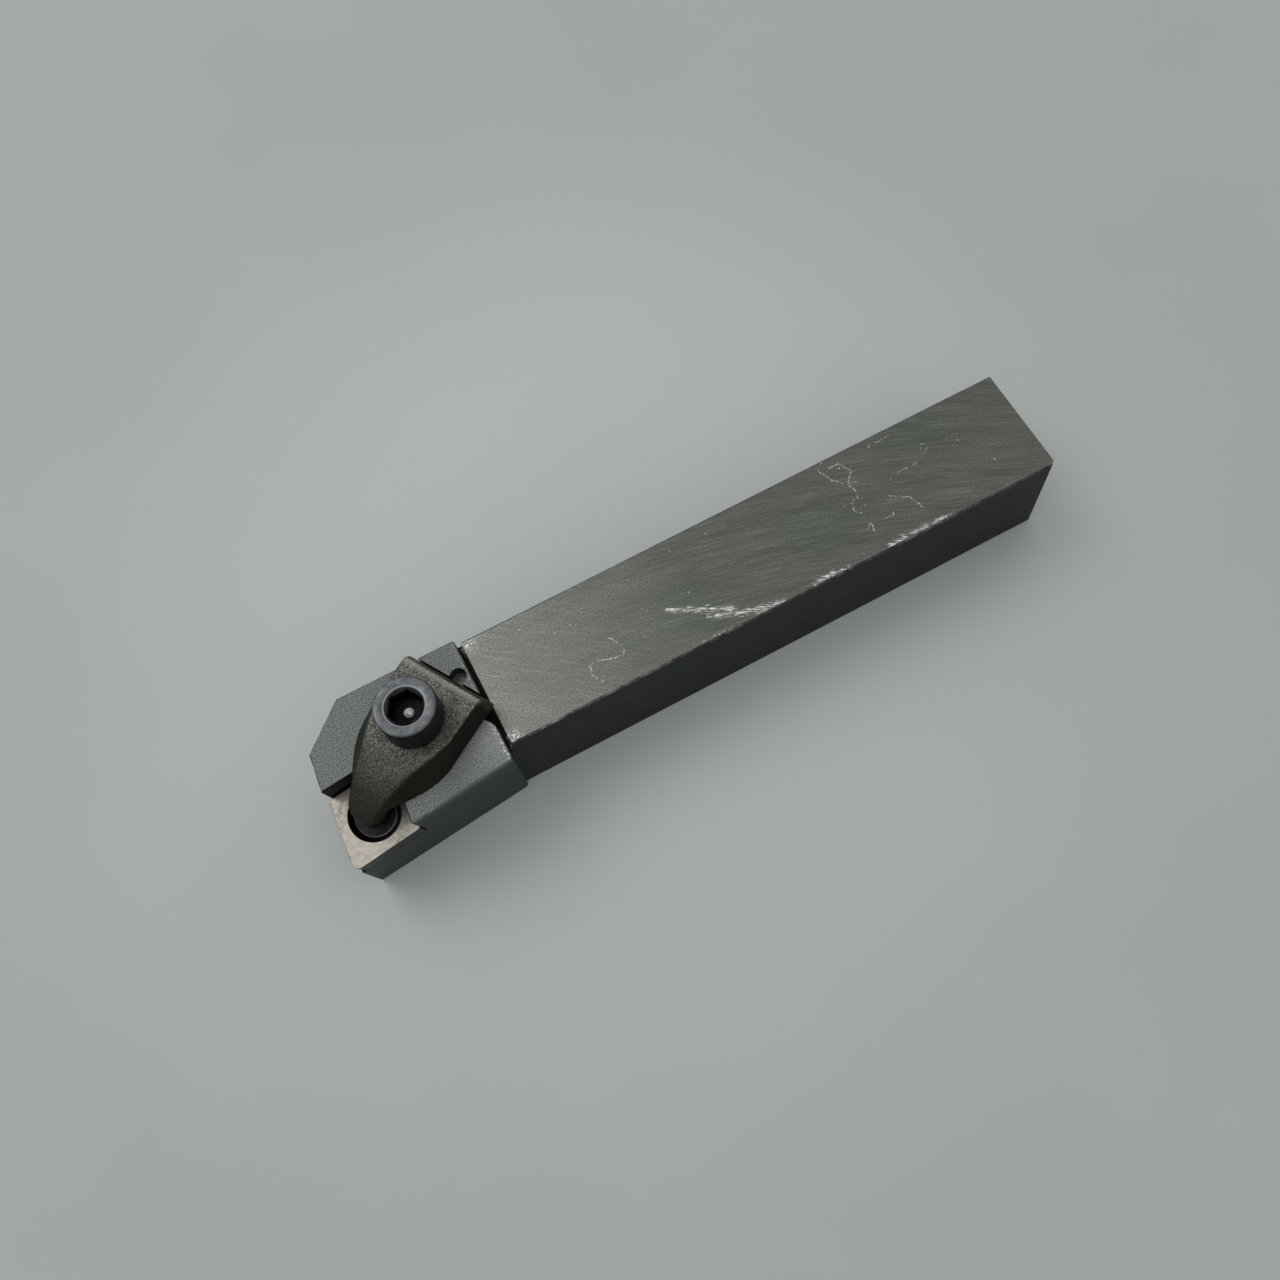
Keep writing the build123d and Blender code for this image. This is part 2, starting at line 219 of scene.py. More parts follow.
def shankTopColour(tree, place, x, fine, broad, look):
    # warm grey with greenish patches, streaked lighter along the grinding arcs
    patches = addNode(tree, "TexNoise", {"Vector": place, "Scale": 0.06, "Detail": 2.0})
    patchMask = addNode(tree, "MapRange", {0: patches, 1: 0.42, 2: 0.6})
    top = addNode(tree, "Mix", {0: patchMask, 6: linear(look["shankTop"]), 7: linear(look["shankPatch"])},
                  out=2, data_type="RGBA")
    broadMask = addNode(tree, "MapRange", {0: broad, 1: 0.40, 2: 0.66})
    broadShare = addNode(tree, "Math", {0: broadMask, 1: 0.16}, operation="MULTIPLY")
    top = addNode(tree, "Mix", {0: broadShare, 6: top, 7: linear(look["streak"])}, out=2, data_type="RGBA")
    fineMask = addNode(tree, "MapRange", {0: fine, 1: 0.46, 2: 0.70})
    fineStrength = addNode(tree, "MapRange", {0: x, 1: -51.0, 2: -20.0, 3: 0.26, 4: 0.5})
    fineShare = addNode(tree, "Math", {0: fineMask, 1: fineStrength}, operation="MULTIPLY")
    top = addNode(tree, "Mix", {0: fineShare, 6: top, 7: linear(look["streak"])}, out=2, data_type="RGBA")

    # the end next to the head is lighter, with faint marks across it, and dust darkens all of it
    front = addNode(tree, "MapRange", {0: x, 1: -51.0, 2: -12.0, 3: 0.62, 4: 0.0})
    top = addNode(tree, "Mix", {0: front, 6: top, 7: linear(look["shankFront"])}, out=2, data_type="RGBA")
    crossing = addNode(tree, "Mapping", {"Vector": place, "Rotation": (0, 0, math.radians(-38)),
                                         "Scale": (9.0, 0.3, 1.0)}, vector_type="TEXTURE")
    crossMarks = addNode(tree, "TexNoise", {"Vector": crossing, "Scale": 1.0, "Detail": 3.0})
    crossShare = addNode(tree, "MapRange", {0: crossMarks, 1: 0.52, 2: 0.68, 3: 0.0, 4: 0.5})
    crossShare = addNode(tree, "Math", {0: crossShare, 1: front}, operation="MULTIPLY")
    top = addNode(tree, "Mix", {0: crossShare, 6: top, 7: linear(look["wearAndHighlight"])}, out=2, data_type="RGBA")
    dust = addNode(tree, "TexNoise", {"Vector": place, "Scale": 3.2, "Detail": 3.0})
    dustShare = addNode(tree, "MapRange", {0: dust, 1: 0.42, 2: 0.66, 3: 0.0, 4: 0.55})
    return addNode(tree, "Mix", {0: dustShare, 6: top, 7: linear(look["dust"])}, out=2, data_type="RGBA")


def headTopColour(tree, place, x, y, grain, chips, look):
    # even mid grey with a fine grain, lighter on the worn land, and bright along its curved edge, partly
    # chipped and partly a painted highlight that is stronger on the near half
    grainMask = addNode(tree, "MapRange", {0: grain, 1: 0.40, 2: 0.64})
    top = addNode(tree, "Mix", {0: grainMask, 6: linear(look["headTop"]), 7: linear(look["headGrainAndHighlight"])},
                  out=2, data_type="RGBA")
    landNear = addNode(tree, "VectorMath", {0: place, 1: look["landWear"]}, out=1, operation="DISTANCE")
    landWear = addNode(tree, "MapRange", {0: landNear, 1: 1.0, 2: 9.0, 3: 0.5, 4: 0.0})
    landFlecks = addNode(tree, "MapRange", {0: grain, 1: 0.40, 2: 0.66, 3: 0.35, 4: 1.0})
    landWear = addNode(tree, "Math", {0: landWear, 1: landFlecks}, operation="MULTIPLY")
    top = addNode(tree, "Mix", {0: landWear, 6: top, 7: linear(look["wearAndHighlight"])}, out=2, data_type="RGBA")
    # the curved edge: chips mixed with a painted highlight
    arcEdgeWearAndHighlight = addNode(tree, "MapRange", {0: x, 1: -52.9, 2: -52.0})
    nearHalf = addNode(tree, "MapRange", {0: y, 1: -5.0, 2: 3.0, 3: 1.0, 4: 0.25})
    arcEdgeWearAndHighlight = addNode(tree, "Math", {0: arcEdgeWearAndHighlight, 1: chips}, operation="MULTIPLY")
    arcEdgeWearAndHighlight = addNode(tree, "Math", {0: arcEdgeWearAndHighlight, 1: nearHalf}, operation="MULTIPLY")
    return addNode(tree, "Mix", {0: arcEdgeWearAndHighlight, 6: top, 7: linear(look["bright"])}, out=2, data_type="RGBA")


def sideColour(tree, place, z, sideways, onHead, look):
    # blackened and cloudy, with a painted highlight that lightens the head's near side towards its top edge
    cloud = addNode(tree, "TexNoise", {"Vector": place, "Scale": 0.35, "Detail": 4.0})
    cloudMask = addNode(tree, "MapRange", {0: cloud, 1: 0.35, 2: 0.75, 3: 0.0, 4: 0.35})
    barSides = addNode(tree, "Mix", {0: cloudMask, 6: linear(look["side"]), 7: linear(look["sideCloud"])},
                       out=2, data_type="RGBA")
    headSides = addNode(tree, "Mix", {0: cloudMask, 6: linear(look["headSide"]),
                                      7: linear(look["headSideCloud"])}, out=2, data_type="RGBA")
    nearSide = addNode(tree, "MapRange", {0: sideways, 1: -0.8, 2: -0.5, 3: 1.0, 4: 0.0})
    # painted highlight: the head's near side lighter towards its top edge, in the head's grain tone
    nearSideHighlight = addNode(tree, "MapRange", {0: z, 1: 19.0, 2: 22.0, 3: 0.0, 4: 0.55},
                    interpolation_type="SMOOTHSTEP")
    nearSideHighlight = addNode(tree, "Math", {0: nearSideHighlight, 1: nearSide}, operation="MULTIPLY")
    headSides = addNode(tree, "Mix", {0: nearSideHighlight, 6: headSides, 7: linear(look["headGrainAndHighlight"])},
                        out=2, data_type="RGBA")
    return addNode(tree, "Mix", {0: onHead, 6: barSides, 7: headSides}, out=2, data_type="RGBA")


def recessShadeMask(tree, place, x, z, look):
    # painted shade: one in the groove and the tail slot, between their floor and the head's top
    grooveMiddle, grooveHalf = look["groove"]
    slotMiddle, slotHalf = look["slot"]
    aboveFloor = addNode(tree, "MapRange", {0: z, 1: 16.9, 2: 17.0})
    belowTop = addNode(tree, "MapRange", {0: z, 1: 21.6, 2: 21.8, 3: 1.0, 4: 0.0})
    inGroove = addNode(tree, "Math", {0: x, 1: grooveMiddle, 2: grooveHalf}, operation="COMPARE")
    fromScrew = addNode(tree, "VectorMath", {0: place, 1: tuple(screwAxis)}, operation="SUBTRACT")
    alongClamp = addNode(tree, "VectorMath", {0: fromScrew, 1: tuple(clampU)}, out=1, operation="DOT_PRODUCT")
    inSlot = addNode(tree, "Math", {0: alongClamp, 1: slotMiddle, 2: slotHalf}, operation="COMPARE")
    beforeBar = addNode(tree, "Math", {0: x, 1: look["barStart"]}, operation="LESS_THAN")
    inSlot = addNode(tree, "Math", {0: inSlot, 1: beforeBar}, operation="MULTIPLY")
    inCut = addNode(tree, "Math", {0: inGroove, 1: inSlot}, operation="MAXIMUM")
    inCut = addNode(tree, "Math", {0: inCut, 1: aboveFloor}, operation="MULTIPLY")
    return addNode(tree, "Math", {0: inCut, 1: belowTop}, operation="MULTIPLY")


def pocketShadeMask(tree, place, look):
    # painted shade: one on the pocket's walls, in the seat's own axes: across it, along it and above its
    # floor
    middle, half = look["pocketSpan"]
    acrossWay = tuple(np.cross(seatNormal, seatAlong))
    fromTip = addNode(tree, "VectorMath", {0: place, 1: seatTip}, operation="SUBTRACT")
    across = addNode(tree, "VectorMath", {0: fromTip, 1: acrossWay}, out=1, operation="DOT_PRODUCT")
    along = addNode(tree, "VectorMath", {0: fromTip, 1: tuple(seatAlong)}, out=1, operation="DOT_PRODUCT")
    above = addNode(tree, "VectorMath", {0: fromTip, 1: tuple(seatNormal)}, out=1, operation="DOT_PRODUCT")
    inPocket = addNode(tree, "Math", {0: across, 1: middle, 2: half}, operation="COMPARE")
    backLine = addNode(tree, "Math", {0: across, 1: look["backLean"], 2: along}, operation="MULTIPLY_ADD")
    shortOfWall = addNode(tree, "Math", {0: backLine, 1: look["pocketBack"]}, operation="LESS_THAN")
    inPocket = addNode(tree, "Math", {0: inPocket, 1: shortOfWall}, operation="MULTIPLY")
    offFloor = addNode(tree, "Math", {0: above, 1: -0.5}, operation="GREATER_THAN")
    return addNode(tree, "Math", {0: inPocket, 1: offFloor}, operation="MULTIPLY")


def wearMarks(tree, place, x, y, nicks, chips, look):
    # Bright marks on the shank's top: thin scratches and broad scuffs along the listed lines, a rubbed
    # near edge, small specks and chipped corners. The lines are bent a little by a noise.
    wobble = addNode(tree, "TexNoise", {"Vector": place, "Scale": 0.9, "Detail": 3.0}, out=1)
    shift = addNode(tree, "VectorMath", {0: wobble, 1: (0.5, 0.5, 0.5)}, operation="SUBTRACT")
    shift = addNode(tree, "VectorMath", {0: shift, 3: 1.1}, operation="SCALE")
    bent = addNode(tree, "VectorMath", {0: place, 1: shift}, operation="ADD")
    thin = strokes(tree, bent, scratchLines, 0.03, 0.12)
    flecks = addNode(tree, "TexNoise", {"Vector": place, "Scale": 2.4, "Detail": 4.0, "Roughness": 0.7})
    fleckMask = addNode(tree, "MapRange", {0: flecks, 1: 0.42, 2: 0.60, 3: 0.15, 4: 0.8})
    thin = addNode(tree, "Math", {0: thin, 1: fleckMask}, operation="MULTIPLY")

    # scuffs: rubbed through where the nearness to a line and a streaky noise add up to enough
    wide = strokes(tree, bent, scuffLines, 0.05, 1.1)
    alongScuff = addNode(tree, "Mapping", {"Vector": place, "Rotation": (0, 0, math.radians(-27)),
                                           "Scale": (1.6, 0.2, 1.0)}, vector_type="TEXTURE")
    rubs = addNode(tree, "TexNoise", {"Vector": alongScuff, "Scale": 1.0, "Detail": 4.0, "Roughness": 0.7})
    rubs = addNode(tree, "Math", {0: rubs, 1: 4.0, 2: -2.0}, operation="MULTIPLY_ADD")
    through = addNode(tree, "Math", {0: wide, 1: rubs}, operation="ADD")
    through = addNode(tree, "MapRange", {0: through, 1: 0.72, 2: 1.25})
    nearScuff = addNode(tree, "MapRange", {0: wide, 1: 0.0, 2: 0.25})
    wide = addNode(tree, "Math", {0: through, 1: nearScuff}, operation="MULTIPLY")
    marks = addNode(tree, "Math", {0: thin, 1: wide}, operation="MAXIMUM")

    # the near top edge is rubbed bright in stretches
    toEdge = addNode(tree, "MapRange", {0: y, 1: -9.7, 2: -8.9, 3: 1.0, 4: 0.0})
    stretches = addNode(tree, "TexNoise", {"Vector": place, "Scale": 0.12, "Detail": 1.0})
    stretchMask = addNode(tree, "MapRange", {0: stretches, 1: 0.47, 2: 0.62})
    rear = addNode(tree, "MapRange", {0: x, 1: -20.0, 2: -8.0})
    edgeFlecks = addNode(tree, "MapRange", {0: flecks, 1: 0.50, 2: 0.58})
    brightEdge = addNode(tree, "Math", {0: toEdge, 1: stretchMask}, operation="MULTIPLY")
    brightEdge = addNode(tree, "Math", {0: brightEdge, 1: rear}, operation="MULTIPLY")
    brightEdge = addNode(tree, "Math", {0: brightEdge, 1: edgeFlecks}, operation="MULTIPLY")
    marks = addNode(tree, "Math", {0: marks, 1: brightEdge}, operation="MAXIMUM")

    specks = addNode(tree, "TexVoronoi", {"Vector": place, "Scale": 0.55})
    speckMask = addNode(tree, "MapRange", {0: specks, 1: 0.05, 2: 0.09, 3: 0.8, 4: 0.0})
    someSpecks = addNode(tree, "MapRange", {0: nicks, 1: 0.52, 2: 0.56})
    speckMask = addNode(tree, "Math", {0: speckMask, 1: someSpecks}, operation="MULTIPLY")
    marks = addNode(tree, "Math", {0: marks, 1: speckMask}, operation="MAXIMUM")
    for corner in look["rubbedCorners"]:
        nearCorner = addNode(tree, "VectorMath", {0: bent, 1: corner}, out=1, operation="DISTANCE")
        chipped = addNode(tree, "MapRange", {0: nearCorner, 1: 0.6, 2: 2.4, 3: 1.0, 4: 0.0})
        chipped = addNode(tree, "Math", {0: chipped, 1: chips}, operation="MULTIPLY")
        marks = addNode(tree, "Math", {0: marks, 1: chipped}, operation="MAXIMUM")
    return marks


def toolSteel(look):
    # Alloy tool steel: the shank surface-ground and blackened, the head finely blasted.
    # Grinding leaves long shallow arcs that catch the light, blasting an even matt grain.
    material, tree, shader, place, facing = newMaterial("groundBlackenedToolSteel")
    x, y, z = addNode(tree, "SeparateXYZ", {0: place}).node.outputs
    _, sideways, upwards = addNode(tree, "SeparateXYZ", {0: facing}).node.outputs
    upFacing = addNode(tree, "MapRange", {0: upwards, 1: 0.86, 2: 0.97})
    notUp = addNode(tree, "Math", {0: 1.0, 1: upFacing}, operation="SUBTRACT")
    onHead = addNode(tree, "MapRange", {0: x, 1: -51.5, 2: -51.3, 3: 1.0, 4: 0.0})
    offHead = addNode(tree, "Math", {0: 1.0, 1: onHead}, operation="SUBTRACT")
    fine, broad = grindingArcs(tree, place, look)
    grain = addNode(tree, "TexNoise", {"Vector": place, "Scale": 1 / look["blastGrain"], "Detail": 2.0})
    chips = addNode(tree, "TexNoise", {"Vector": place, "Scale": 2.2, "Detail": 5.0, "Roughness": 0.75})
    chips = addNode(tree, "MapRange", {0: chips, 1: 0.51, 2: 0.59})
    nicks = addNode(tree, "TexNoise", {"Vector": place, "Scale": 0.5, "Detail": 6.0, "Roughness": 0.75})

    shankTop = shankTopColour(tree, place, x, fine, broad, look)
    headTop = headTopColour(tree, place, x, y, grain, chips, look)
    tops = addNode(tree, "Mix", {0: onHead, 6: shankTop, 7: headTop}, out=2, data_type="RGBA")
    sides = sideColour(tree, place, z, sideways, onHead, look)
    base = addNode(tree, "Mix", {0: upFacing, 6: sides, 7: tops}, out=2, data_type="RGBA")

    # chamfers painted brighter, partly worn and partly a painted highlight: faces that lean halfway between
    # up and sideways, in long and short stretches
    lean = addNode(tree, "MapRange", {0: upwards, 1: 0.25, 2: 0.5})
    chamfer = addNode(tree, "Math", {0: lean, 1: notUp}, operation="MULTIPLY")
    nickMask = addNode(tree, "MapRange", {0: nicks, 1: 0.44, 2: 0.66, 3: 0.1, 4: 0.75})
    runs = addNode(tree, "TexNoise", {"Vector": place, "Scale": 0.07, "Detail": 2.0})
    runMask = addNode(tree, "MapRange", {0: runs, 1: 0.40, 2: 0.60, 3: 0.3, 4: 1.0})
    chamferWearAndHighlight = addNode(tree, "Math", {0: chamfer, 1: nickMask}, operation="MULTIPLY")
    chamferWearAndHighlight = addNode(tree, "Math", {0: chamferWearAndHighlight, 1: runMask}, operation="MULTIPLY")

    marks = wearMarks(tree, place, x, y, nicks, chips, look)
    marks = addNode(tree, "Math", {0: marks, 1: upFacing}, operation="MULTIPLY")
    marks = addNode(tree, "Math", {0: marks, 1: offHead}, operation="MULTIPLY")
    # painted shade darkens the groove, the tail slot and the pocket walls
    layers = ((chamferWearAndHighlight, "wearAndHighlight"), (recessShadeMask(tree, place, x, z, look), "recessShade"),
              (pocketShadeMask(tree, place, look), "pocketShade"), (marks, "bright"))
    for mask, tone in layers:
        base = addNode(tree, "Mix", {0: mask, 6: base, 7: linear(look[tone])}, out=2, data_type="RGBA")

    rough = addNode(tree, "MapRange", {0: fine, 1: 0.3, 2: 0.7, 3: 0.34, 4: 0.52})
    matt = addNode(tree, "Math", {0: notUp, 1: onHead}, operation="MAXIMUM")
    rough = addNode(tree, "Mix", {0: matt, 2: rough, 3: 0.55}, data_type="FLOAT")
    shader.inputs["Metallic"].default_value = 0.9
    tree.links.new(base, shader.inputs["Base Color"])
    tree.links.new(rough, shader.inputs["Roughness"])
    relief = addNode(tree, "Mix", {0: onHead, 2: fine, 3: grain}, data_type="FLOAT")
    relief = addNode(tree, "Math", {0: relief, 1: upFacing}, operation="MULTIPLY")
    bump = addNode(tree, "Bump", {"Strength": 0.3, "Distance": 0.04 * mm, "Height": relief})
    tree.links.new(bump, shader.inputs["Normal"])
    return material


vertices, faces = weld("holder")
holder = newPiece("holder_steel", vertices, faces, toolSteel(holderLook), "holder", "holder")
roundEdges(holder, holderLook["edge"])
print("holder made:", len(faces), "faces")

# ---- clamp
clampLook = {
    "voxel": 0.16, "rounds": 3, "noseRounds": 34,
    # dark is both the painted shade on steep faces and the darker tone towards the nose
    "skin": "757670", "pit": "403F3A", "dark": "221E19", "warm": "4B4539", "tail": "403B32",
    "bright": "AEAA9D",
    "grain": 0.28,  # pits of the casting skin, in mm
    # spans along the clamp from the screw, and the heights over which the bright edge begins
    "nosePart": (-13.5, -1.5), "tailFace": (7.2, 7.9), "tailEdge": (6.7, 7.7), "topEdge": (25.2, 25.9),
    # where the softening begins, and how far on it is full
    "softAbove": (22.6, 1.6), "softBelow": (21.2, 0.6), "softAlong": (1.0, 9.0),
}


def castSteel(look):
    # Precision-cast steel, tempered bronze-brown: a fine pitted skin, darker towards the nose, with painted
    # shade on the steep parts (lighter on the tail face), and lighter along the tail's upper edge
    material, tree, shader, place, facing = newMaterial("castTemperedSteel")
    axes = addNode(tree, "SeparateXYZ", {0: place})
    normal = addNode(tree, "SeparateXYZ", {0: facing})
    fromScrew = addNode(tree, "VectorMath", {0: place, 1: tuple(screwAxis)}, operation="SUBTRACT")
    alongClamp = addNode(tree, "VectorMath", {0: fromScrew, 1: tuple(clampU)}, out=1, operation="DOT_PRODUCT")
    grain = addNode(tree, "TexNoise", {"Vector": place, "Scale": 1 / look["grain"], "Detail": 3.0})
    grainMask = addNode(tree, "MapRange", {0: grain, 1: 0.38, 2: 0.60})
    base = addNode(tree, "Mix", {0: grainMask, 6: linear(look["skin"]), 7: linear(look["pit"])},
                   out=2, data_type="RGBA")
    blotch = addNode(tree, "TexNoise", {"Vector": place, "Scale": 0.3, "Detail": 3.0})
    blotchMask = addNode(tree, "MapRange", {0: blotch, 1: 0.42, 2: 0.68, 3: 0.0, 4: 0.45})
    base = addNode(tree, "Mix", {0: blotchMask, 6: base, 7: linear(look["warm"])}, out=2, data_type="RGBA")
    # painted shade: steep faces darkened by how they lean, the tail face less so
    steepShade = addNode(tree, "MapRange", {0: normal.node.outputs[2], 1: 0.55, 2: 0.93, 3: 1.0, 4: 0.0})
    tailFace = addNode(tree, "MapRange", {0: alongClamp, 1: look["tailFace"][0], 2: look["tailFace"][1]})
    steepShadeTone = addNode(tree, "Mix", {0: tailFace, 6: linear(look["dark"]), 7: linear(look["tail"])},
                        out=2, data_type="RGBA")
    base = addNode(tree, "Mix", {0: steepShade, 6: base, 7: steepShadeTone}, out=2, data_type="RGBA")
    noseFrom, noseTo = look["nosePart"]
    noseward = addNode(tree, "MapRange", {0: alongClamp, 1: noseFrom, 2: noseTo, 3: 0.8, 4: 0.0})
    base = addNode(tree, "Mix", {0: noseward, 6: base, 7: linear(look["dark"])}, out=2, data_type="RGBA")
    tailEdge = addNode(tree, "MapRange", {0: alongClamp, 1: look["tailEdge"][0], 2: look["tailEdge"][1]})
    brightEdge = addNode(tree, "MapRange", {0: grain, 1: 0.42, 2: 0.58, 3: 0.0, 4: 0.8})
    z = axes.node.outputs[2]
    highUp = addNode(tree, "MapRange", {0: z, 1: look["topEdge"][0], 2: look["topEdge"][1]})
    brightEdge = addNode(tree, "Math", {0: brightEdge, 1: tailEdge}, operation="MULTIPLY")
    brightEdge = addNode(tree, "Math", {0: brightEdge, 1: highUp}, operation="MULTIPLY")
    base = addNode(tree, "Mix", {0: brightEdge, 6: base, 7: linear(look["bright"])}, out=2, data_type="RGBA")
    rough = addNode(tree, "MapRange", {0: grain, 1: 0.3, 2: 0.7, 3: 0.42, 4: 0.62})
    shader.inputs["Metallic"].default_value = 0.85
    tree.links.new(base, shader.inputs["Base Color"])
    tree.links.new(rough, shader.inputs["Roughness"])
    bump = addNode(tree, "Bump", {"Strength": 1.0, "Distance": 0.10 * mm, "Height": grain})
    tree.links.new(bump, shader.inputs["Normal"])
    return material


def castShape(node, look):
    # The solid is cut into small even faces, then each point moves halfway to the mean of its
    # neighbours, over and over, and more often towards the nose than at the tail.
    vertices, faces = weld(node)
    mesh = bpy.data.meshes.new("castBlank")
    mesh.from_pydata(vertices.tolist(), [], faces)
    blank = bpy.data.objects.new("castBlank", mesh)
    bpy.context.scene.collection.objects.link(blank)
    remesh = blank.modifiers.new("even", "REMESH")
    remesh.mode = "VOXEL"
    remesh.voxel_size = look["voxel"] * mm
    even = blank.evaluated_get(bpy.context.evaluated_depsgraph_get()).to_mesh()
    points = np.empty(len(even.vertices) * 3)
    even.vertices.foreach_get("co", points)
    points = points.reshape(-1, 3)
    edges = np.empty(len(even.edges) * 2, int)
    even.edges.foreach_get("vertices", edges)
    edges = edges.reshape(-1, 2)
    quads = [list(p.vertices) for p in even.polygons]
    bpy.data.objects.remove(blank)
    both = np.concatenate([edges, edges[:, ::-1]])
    count = np.bincount(both[:, 0], minlength=len(points))[:, None]
    along = (points / mm - screwAxis) @ clampU
    # the foot of the flanks stays crisp, and the upper edges soften towards the nose
    (above, rise), (below, fall), (begin, run) = look["softAbove"], look["softBelow"], look["softAlong"]
    high = np.clip((points[:, 2] / mm - above) / rise, 0.0, 1.0)
    low = np.clip((below - points[:, 2] / mm) / fall, 0.0, 1.0)
    share = (np.clip((begin - along) / run, 0.0, 1.0) * np.maximum(high, 0.5 * low))[:, None]
    for step in range(look["noseRounds"]):
        total = np.stack([np.bincount(both[:, 0], points[both[:, 1], i], len(points)) for i in range(3)], 1)
        strength = 0.5 if step < look["rounds"] else 0.5 * share
        points = points + strength * (total / count - points)
    return points, quads


points, quads = castShape("clamp", clampLook)
newPiece("clamp_cast", points, quads, castSteel(clampLook), "clamp", "clamp", smoothAngle=180)
print("clamp made:", len(quads), "faces")

# ---- clamp screw
screwLook = {
    "foot": 26.23, "headRadius": 5.0, "headHeight": 6.0, "rim": 0.4, "mouth": 3.3,
    "across": 5.0, "socketDepth": 3.2, "dimple": 0.85, "dimpleDepth": 0.42,
    "shankRadius": 3.0, "length": 20.0, "tip": 2.3, "pitch": 1.0, "threadDepth": 0.55,
    "ringLow": 22.03, "ringHigh": 22.63, "ringRadius": 2.6, "hexTurn": 1.0,  # turn of a corner, in degrees
    "rimTone": "5D5F61", "rimSmear": "4E5154", "sideTone": "1C1D1F", "socketShade": "08080A",
    # the bright tone is for painted highlights on the socket's mouth and drill point
    "bright": "B4B8BB",
}


def hexRadius(angle, across, turn):
    # distance from the axis to the flat of a hexagon in the direction of each angle
    sector = np.mod(angle - math.radians(turn) + math.pi / 6, math.pi / 3) - math.pi / 6
    return across / 2 / np.cos(sector)


def fullRings(angle, profile):
    # each radius and height of the profile, given to every angle
    one = np.ones_like(angle)
    return [(one * radius, one * height) for radius, height in profile]


def headRings(look, angle):
    # Rings from the foot of the head up its side, over the rounded rim, down the bevelled mouth and
    # the hexagon walls to the drill point: each ring is a radius and a height for every angle.
    foot, wide, rim, mouth = look["foot"], look["headRadius"], look["rim"], look["mouth"]
    top = foot + look["headHeight"]
    base = top - look["socketDepth"]
    hexagon = hexRadius(angle, look["across"], look["hexTurn"] + 30.0)
    bend = np.linspace(0.0, math.pi / 2, 6)
    profile = [(look["shankRadius"], foot), (wide - 0.1, foot), (wide, foot + 0.1), (wide, top - rim - 0.6)]
    profile += [(wide - rim * (1 - math.cos(b)), top - rim * (1 - math.sin(b))) for b in bend]
    profile += [(mouth + 0.12, top), (mouth, top - 0.04), (hexagon + 0.06, top - mouth + hexagon),
                (hexagon, top - mouth + hexagon - 0.1), (hexagon, base + 0.08), (hexagon - 0.08, base),
                (look["dimple"] * 1.05, base), (look["dimple"] * 0.95, base - 0.05),
                (0.25, base - look["dimpleDepth"] * 0.85)]
    return fullRings(angle, profile), base - look["dimpleDepth"]


def threadRings(look, angle, low, high, taper):
    # A helical thread: the radius falls and rises once per pitch, a full pitch further on each turn
    heights = np.arange(low, high, look["pitch"] / 10)
    rings = []
    for height in heights:
        phase = np.mod(height / look["pitch"] - angle / (2 * math.pi), 1.0)
        cut = np.clip(1.5 * np.abs(2 * phase - 1) - 0.25, 0.0, 1.0)
        fade = min(1.0, (high - height) / look["pitch"], max(0.0, (height - low) / look["pitch"] + 0.3))
        point = look["shankRadius"] - max(0.0, taper - (height - low))
        radius = np.minimum(look["shankRadius"] - look["threadDepth"] * cut * fade, point)
        rings.append((radius, np.full_like(angle, height)))
    return rings


def screwShape(rings, bottom, poleHeight, angle, place):
    # the rings as a closed surface, with a pole at each end, carried to the screw's own place
    radius = np.array([r for r, _ in rings])
    height = np.array([h for _, h in rings])
    grid = np.stack([radius * np.cos(angle), radius * np.sin(angle), height], -1).reshape(-1, 3)
    poles = np.array([[0.0, 0.0, bottom], [0.0, 0.0, poleHeight]])
    return place(np.concatenate([grid, poles])) * mm, ringFaces(len(rings), len(angle))


